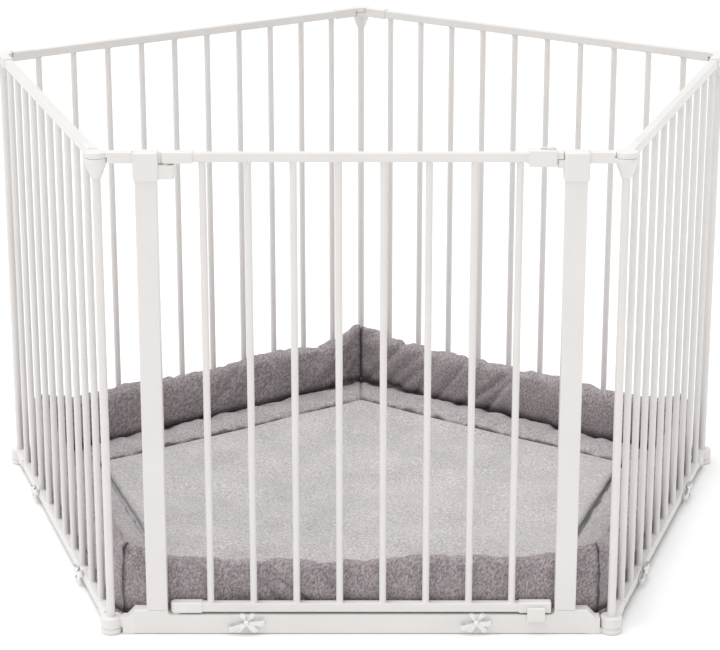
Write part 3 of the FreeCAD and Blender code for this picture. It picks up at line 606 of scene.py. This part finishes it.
def wall_profile(half, foot, crest):
    """Points round one side's section as (offset from its middle, height)."""
    points = [(half * 0.6, foot), (0, foot - 1 * MM), (-half * 0.6, foot)]
    points += [(-half, z) for z in spaced(foot + 5 * MM, crest - half, WALL_FLAT)]
    for k in range(1, WALL_ROUND):
        angle = math.pi * (1 - k / WALL_ROUND)
        points.append((half * math.cos(angle), crest - half + half * math.sin(angle)))
    points += [(half, z) for z in spaced(crest - half, foot + 5 * MM, WALL_FLAT)]
    return points


def wall_folds(point):
    """Gathers under the rolled edge and beside the mitres, slanting folds and soft dents."""
    side, x, out = section_of(point)
    crest = wall_crest(x, side)
    end = to_mitre(x, out)
    high = (point.z - WALL_FOOT) / (crest - WALL_FOOT)
    gathers = GATHER_DEPTH * wobble(x, side + high * 0.02, 21, 80) * bell(1 - high, 0.42)
    seam = MITRE_GATHER * wobble(high * 0.11, side + x * 0.4, 22, 80) * bell(end, 42 * MM)
    patch = max(0.0, wobble(x, side * 5.3, 23, 5.5) + 0.25)
    slant = SLANT_DEPTH * patch * ridges(x + 0.9 * point.z, side + point.z * 0.25, 24, 16)
    dents = DENT_DEPTH * wobble(x, point.z * 1.5 + side, 25, 13)
    return (gathers + seam + slant + dents) * min(1, max(0, end + MITRE_LAP) / (9 * MM))


def wall_seams_and_painted_shade(point):
    """Dark thread with painted shade along the mitres at both ends, and painted shade in the fold where a
    side meets the floor.
    """
    side, x, out = section_of(point)
    mitre = to_mitre(x, out)
    return bell(mitre, 3.5 * MM) + 0.8 * bell(max(0, point.z - FLOOR_CROWN), 7 * MM)


def hold_in(piece):
    """Keeps a side's outer face against the bars, and its corners clear of the posts."""
    for vertex in piece.data.vertices:
        side, x, out = section_of(vertex.co)
        near = to_mitre(x, out)
        limit = OUTER_LIMIT - CORNER_PULL * bell(near, HOLD_WIDTH)
        if out > limit:
            turn = Matrix.Rotation(TURN * side, 3, "Z")
            vertex.co += turn @ Vector((0, out - limit, 0))


def mat_side(side):
    """One padded side, mitred at both ends, with a rolled top."""
    rings = []
    mid = (WALL_INNER + MAT_EDGE) / 2 - WALL_SET_BACK
    half = WALL_THICKNESS / 2 - 1.5 * MM
    for i in range(WALL_COLUMNS + 1):
        t = -1 + 2 * i / WALL_COLUMNS
        crest = wall_crest(t * mid * HALF_TURN, side)
        ring = []
        for offset, z in wall_profile(half, WALL_FOOT, crest):
            if offset < 0:
                share = min(1, max(0, (z - WALL_FOOT) / (crest - WALL_FOOT)))
                offset -= INNER_BULGE * math.sin(math.pi * share)
            near = (1 - abs(t)) * mid * HALF_TURN
            pull = CORNER_PULL * bell(near, CORNER_WIDTH)
            out = mid + offset - pull * (0.5 + offset / half / 2)
            ring.append(to_side((t * (out * HALF_TURN + MITRE_LAP), out, z), side))
        rings.append(ring)
    around = len(rings[0])
    verts = [point for ring in rings for point in ring]
    faces = tube_faces(len(rings), around, False)
    for ring, first in ((rings[0], 0), (rings[-1], len(rings) - 1)):
        hub = len(verts)
        verts.append(sum(ring, Vector()) / around)
        faces += [(first * around + k, first * around + (k + 1) % around, hub) for k in range(around)]
    name = SIDE_NAMES[side]
    piece = new_piece("mat_wall_" + name, verts, faces, "mat_fabric", "gate_frame")

    def loose(point):
        number, x, out = section_of(point)
        return to_mitre(x, out) > 4 * MM and point.z > WALL_FOOT + 3 * MM

    def finishing(target):
        displace(target, wall_folds)
        hold_in(target)
        mark_seams_and_painted_shade(target, wall_seams_and_painted_shade)

    add_cloth(piece, loose, pressure=4.0, growth=0.04, cap=4 * MM, finishing=finishing)
    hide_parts("mat_side_" + name)


# ---- ribbon ties ----------------------------------------------------------------------
RIBBON = 10 * MM
RIBBON_THICK = 0.5 * MM
RIBBON_SECTION = ((1, 1), (0, 1.25), (-1, 1), (-1, -1), (0, -0.75), (1, -1))  # in half sizes, crowned
LOOP_STEPS = 14
LOOP_LENGTH = 25 * MM
LOOP_VARIES = 6 * MM
LOOP_SWELL = 4.2 * MM            # how far each half of a loop stands off its middle
LOOP_DROOP = 0.22
LOOP_LIFT = 0.35                 # how much higher the right loop points, in radians
LOOP_FRONT = 2.2 * MM            # how far the loops lie in front of the knot's middle
TAIL_STEPS = 8
TAIL_FRONT = 2.6 * MM
TAIL_SPREAD = 0.75               # sideways reach, as a share of the length
TAIL_CLEAR = 2.5 * MM            # about what stays free above the floor
KNOT_STEPS = 10
KNOT_WIDTH = 6.5 * MM
KNOT_FRONT = 2.4 * MM
KNOT_DEPTH = 2.1 * MM
KNOT_HEIGHT = 4.4 * MM
BOW_REACH = 24 * MM              # from a bow's middle to the end of its loop, in the CAD ties
TIE_FACE = 10.7 * MM             # from the threshold's middle line to the front of its bands
FRONT_TIE_X = TIES_HIGH.x - BOW_REACH
PANEL_TIE_X = 175.84 * MM        # from a panel's middle to its CAD ties, beside a bar
BAND_CLEAR = 0.4 * MM            # from a rail to the ribbon round it
BAND_CORNER = 1.2 * MM
BAND_END = 4 * MM                # from the band's top to its end, which overlaps its start
KNOT_OUT = 1.2 * MM              # from the rail's band to the middle of a knot
KNOT_BELOW = 3 * MM              # from the band's top to the middle of a knot
STRAND_DROP = 12 * MM            # from the threshold's top to a front bow's knot
STRAND_START = 9.5 * MM          # from the threshold's middle line, beside the mat
STRAND_BEND = 1.5 * MM           # over the threshold's front edge
STRAND_SHIFTS = (-6 * MM, 9 * MM)  # where the two ends cross the threshold, beside the knot
TIE_NODES = ["front_ties", "right_ties", "back_right_ties", "back_left_ties", "left_ties"]
TIE_BODIES = ["gate_frame", "right_panel", "back_right_panel", "back_left_panel", "left_panel"]


class Ribbon:
    """Strips of ribbon in a section's own frame, gathered into one mesh."""

    def __init__(self):
        self.verts = []
        self.faces = []
        self.area = 0.0

    def strip(self, path, across, widths, closed=False):
        """A strip along path; across is its width direction at each point."""
        count = len(path)
        first = len(self.verts)
        for i, (point, side_way, width) in enumerate(zip(path, across, widths)):
            ahead = path[(i + 1) % count if closed else min(i + 1, count - 1)]
            behind = path[i - 1 if closed or i else 0]
            way = (ahead - behind).normalized()
            wide = side_way - way * side_way.dot(way)
            wide = wide.normalized() * width / 2
            thick = way.cross(wide).normalized() * RIBBON_THICK / 2
            for a, b in RIBBON_SECTION:
                self.verts.append(point + wide * a + thick * b)
            if i:
                self.area += (point - path[i - 1]).length * width
        self.faces += [tuple(first + k for k in face) for face in tube_faces(count, 6, closed)]
        if not closed:
            last = first + (count - 1) * 6
            self.faces += [(first, first + 1, first + 4, first + 5),
                           (first + 1, first + 2, first + 3, first + 4),
                           (last + 5, last + 4, last + 1, last),
                           (last + 4, last + 3, last + 2, last + 1)]


def bow_loop(ribbon, knot, hand, droop, length):
    """One loop of a bow, out from the knot and back to it."""
    path = []
    across = []
    widths = []
    for i in range(LOOP_STEPS + 1):
        t = i / LOOP_STEPS
        reach = math.sin(math.pi * t) ** 0.8 * length
        front = -math.sin(2 * math.pi * t) * LOOP_SWELL - LOOP_FRONT
        path.append(knot + Vector((hand * reach * math.cos(droop), front, -reach * math.sin(droop))))
        across.append(Vector((hand * math.sin(droop), 0, math.cos(droop))))
        widths.append(RIBBON * (0.42 + 0.62 * math.sin(math.pi * t) ** 0.7))
    ribbon.strip(path, across, widths)


def bow_tail(ribbon, knot, hand, spread, length, seed):
    """A loose end that hangs from the knot, curls a little and is cut straight."""
    path = []
    across = []
    widths = []
    for i in range(TAIL_STEPS + 1):
        t = i / TAIL_STEPS
        side_way = spread * length * math.sin(t * math.pi / 2)
        curl = -TAIL_FRONT - 2.0 * MM * math.sin(math.pi * t) + 1.2 * MM * wobble(t, seed, 31, 2.0)
        path.append(knot + Vector((hand * side_way, curl, -length * t * 0.9)))
        twist = 0.5 * wobble(t, seed, 32, 1.5)
        across.append(Vector((1, twist, hand * 0.45)))
        widths.append(RIBBON * (0.45 + 0.5 * min(1, t * 2.2)))
    ribbon.strip(path, across, widths)


def knot_wrap(ribbon, knot):
    """The turn of ribbon that holds the bow together."""
    path = []
    for i in range(KNOT_STEPS):
        angle = 2 * math.pi * i / KNOT_STEPS
        front = -KNOT_FRONT + KNOT_DEPTH * math.cos(angle)
        path.append(knot + Vector((0, front, KNOT_HEIGHT * math.sin(angle))))
    ribbon.strip(path, [Vector((1, 0, 0))] * KNOT_STEPS, [KNOT_WIDTH] * KNOT_STEPS, closed=True)


def ribbon_band(ribbon, x, outline):
    """The ribbon's way from the mat round the rail or over the threshold."""
    path = [Vector((x, y, z)) for y, z in outline]
    ribbon.strip(path, [Vector((1, 0, 0))] * len(path), [RIBBON * 0.95] * len(path))


def front_strand(ribbon, x, shift, face, level, knot):
    """One end of a front ribbon: out through the gap, over the edge and down to its knot."""
    top = x + shift
    path = [Vector((top, STRAND_START, level)), Vector((top, 0, level)),
            Vector((top, face + STRAND_BEND, level)), Vector((top, face, level - STRAND_BEND))]
    path += [path[3].lerp(knot, t) for t in (0.35, 0.7, 1.0)]
    widths = [RIBBON * w for w in (0.8, 0.8, 0.8, 0.8, 0.7, 0.5, 0.35)]
    ribbon.strip(path, [Vector((1, 0, 0))] * len(path), widths)


def rail_outline(low, high, inner, outer):
    """Round a rail's section, in (y, z), with its corners cut."""
    c = BAND_CORNER
    return [(inner, high - c), (inner - c, high), (outer + c, high), (outer, high - c), (outer, low + c),
            (outer + c, low), (inner - c, low), (inner, low + c), (inner, high - BAND_END)]


def tie(side, number, x):
    """One bow with its band, as a piece of its own."""
    ribbon = Ribbon()
    seed = side * 2.3 + number
    if side:
        rail_low = RAIL_LOW - BAND_CLEAR
        rail_high = RAIL_LOW + RAIL_SIZE + BAND_CLEAR
        face = RAIL_SIZE / 2 + BAND_CLEAR
        ribbon_band(ribbon, x, rail_outline(rail_low, rail_high, face, -face))
        knot = Vector((x, -face - KNOT_OUT, rail_high - KNOT_BELOW))
    else:
        face = -TIE_FACE
        level = TIES_HIGH.z - 0.3 * MM
        knot = Vector((x, face - 0.6 * MM, level - STRAND_DROP))
        for shift in STRAND_SHIFTS:
            front_strand(ribbon, x, shift, face, level, knot)
    knot_wrap(ribbon, knot)
    for hand in (-1, 1):
        droop = LOOP_DROOP + 0.3 * wobble(hand, seed, 41, 1.7)
        length = LOOP_LENGTH + LOOP_VARIES * wobble(hand, seed, 42, 1.9)
        bow_loop(ribbon, knot, hand, droop - (LOOP_LIFT if hand > 0 else 0), length)
        spread = TAIL_SPREAD + 0.5 * wobble(hand, seed, 43, 1.3)
        drop = (knot.z - TAIL_CLEAR) * (1 + 0.1 * wobble(hand, seed, 44, 1.1))
        bow_tail(ribbon, knot, hand, spread, drop, seed + hand)
    placed = [to_side((v.x, APOTHEM - v.y, v.z), side) for v in ribbon.verts]
    piece = new_piece(f"ribbon_{SIDE_NAMES[side]}_{number}", placed, ribbon.faces, "ribbon", TIE_BODIES[side])
    subdivide(piece)
    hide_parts(TIE_NODES[side])


def ties():
    """Two bows on each side, where the CAD ties are."""
    for side in range(SIDES):
        offset = FRONT_TIE_X if side == 0 else PANEL_TIE_X
        for number, hand in ((1, -1), (2, 1)):
            tie(side, number, hand * offset)


# ---- floor, light and camera ----------------------------------------------------------
FLOOR_SIZE = 30
WORLD_LIGHT = 0.70
LAMP_LIGHT = 1.9
LAMP_ANGLE = math.radians(50)    # so wide that its shadows have no edges
LAMP_TURN = (math.radians(4), math.radians(-14), 0)


def studio():
    """A pale floor, an even pale world and one broad light overhead."""
    half = FLOOR_SIZE / 2
    mesh = bpy.data.meshes.new("studio_floor")
    corners = [(x, y, FLOOR_DROP) for x, y in ((-half, -half), (half, -half), (half, half), (-half, half))]
    mesh.from_pydata(corners, [], [(0, 1, 2, 3)])
    floor = bpy.data.objects.new("studio_floor", mesh)
    bpy.context.scene.collection.objects.link(floor)
    s = Shader("pale_floor", (0.93, 0.93, 0.93), 0.9)
    s.link(s.ramp(s.noise(s.coordinates(), 3.0), [(0.3, (0.925, 0.925, 0.925)), (0.7, (0.94, 0.94, 0.94))]),
           s.bsdf.inputs["Base Color"])
    s.bsdf.inputs["Specular IOR Level"].default_value = 0.0
    mesh.materials.append(s.material)

    world = bpy.data.worlds.new("studio")
    bpy.context.scene.world = world
    world.use_nodes = True
    background = world.node_tree.nodes["Background"]
    background.inputs["Color"].default_value = (1.0, 0.998, 0.995, 1)
    background.inputs["Strength"].default_value = WORLD_LIGHT
    lamp = bpy.data.lights.new("softbox", "SUN")
    lamp.energy = LAMP_LIGHT
    lamp.angle = LAMP_ANGLE
    holder = bpy.data.objects.new("softbox", lamp)
    bpy.context.scene.collection.objects.link(holder)
    holder.rotation_euler = LAMP_TURN


CAMERA_LENS = 120.6              # mm, on a 36 mm sensor
CAMERA_X = -0.0017
CAMERA_BACK = 3.183              # in front of the gate section's line
CAMERA_HEIGHT = 1.4733
CAMERA_TILT = math.radians(17.61)


def camera():
    """Stands in front of the gate, above the pen, and looks down at it."""
    data = bpy.data.cameras.new("camera")
    data.lens = CAMERA_LENS
    data.sensor_width = 36
    data.clip_end = 100
    holder = bpy.data.objects.new("camera", data)
    bpy.context.scene.collection.objects.link(holder)
    holder.location = (CAMERA_X, THRESHOLD.y - CAMERA_BACK, CAMERA_HEIGHT)
    holder.rotation_euler = (math.pi / 2 - CAMERA_TILT, 0, 0)
    bpy.context.scene.camera = holder


finish_nodes()
mat_panel()
mat_border()
for number in range(SIDES):
    mat_side(number)
run_cloth()
ties()
studio()
camera()
bpy.context.scene.view_settings.view_transform = "Standard"
